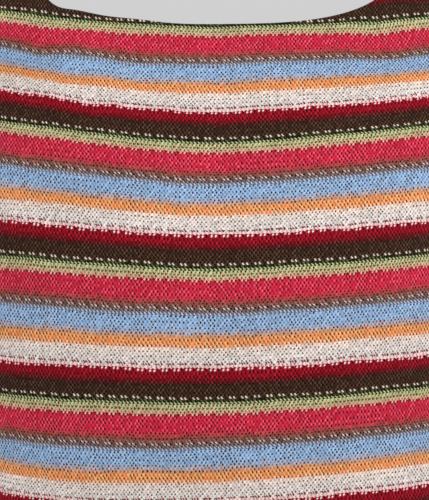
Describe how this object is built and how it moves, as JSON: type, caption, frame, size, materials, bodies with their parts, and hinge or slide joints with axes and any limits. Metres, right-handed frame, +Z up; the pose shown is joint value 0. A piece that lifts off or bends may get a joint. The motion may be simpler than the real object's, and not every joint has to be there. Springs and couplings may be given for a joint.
{
  "type": "knit tunic",
  "caption": "Sleeveless striped knit tunic with a wide scoop neck, worn form held open: front and back panels sewn at shoulders and sides, flared soft hem.",
  "frame": {"origin": "midway between the two shoulder seams, at the height of their middles, where the wearer's shoulders hold the garment up", "axes": "+Z up, from hem to shoulders; the front panel faces -Y; +X is to the right of someone who looks at the front"},
  "size_m": [0.4166, 0.251, 0.7507],
  "materials": {
    "striped_knit": "matte fine-gauge knit in horizontal stripes of raspberry, taupe, sky blue, orange, cream, crimson, dark brown and sage green"
  },
  "bodies": {
    "root": {"front": "striped_knit", "back": "striped_knit"}
  },
  "joints": []
}
